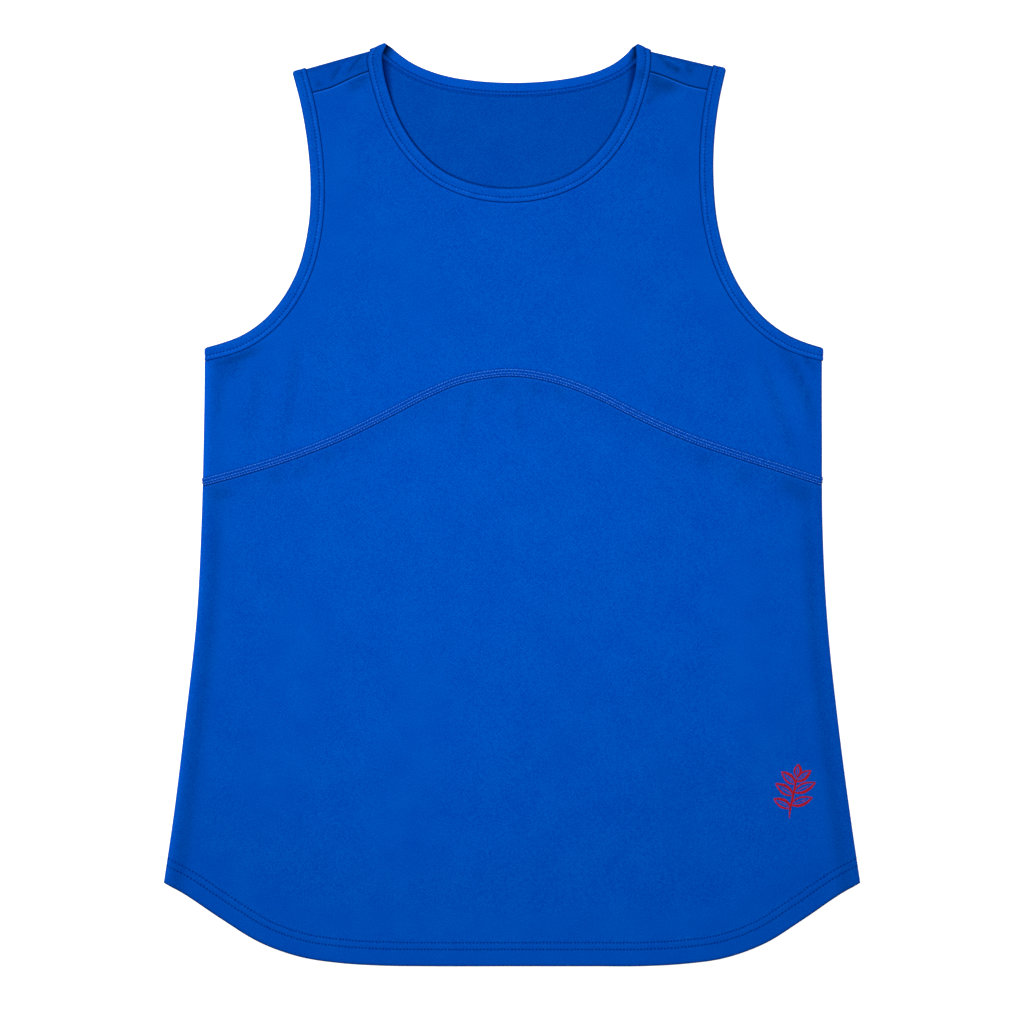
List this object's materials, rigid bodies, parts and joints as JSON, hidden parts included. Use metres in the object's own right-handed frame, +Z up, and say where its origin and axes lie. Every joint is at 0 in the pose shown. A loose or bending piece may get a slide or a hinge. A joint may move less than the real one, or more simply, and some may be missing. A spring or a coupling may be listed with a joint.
{
  "type": "yoga tank top laid flat",
  "caption": "Sleeveless knitted top laid flat, front up, with bound neck and armholes, a curved seam under the bust and a shirt-tail hem",
  "frame": {"origin": "On the surface that the garment lies on, under the middle of its bounding box", "axes": "+Y runs from the hem to the neck, the longest way; +Z is up out of the front, the thinnest way; +X is to the right seen from above with the neck at the top, the wearer's left"},
  "size_m": [0.5086, 0.6728, 0.0037],
  "materials": {
    "jersey": "matt royal-blue polyester and elastane interlock, smooth face with a faint knit",
    "binding": "the same interlock folded into a topstitched binding, royal blue"
  },
  "bodies": {
    "root": {"back": "jersey", "front_yoke": "jersey", "front_body": "jersey", "neck_binding": "binding", "armhole_binding_left": "binding", "armhole_binding_right": "binding"}
  },
  "joints": []
}
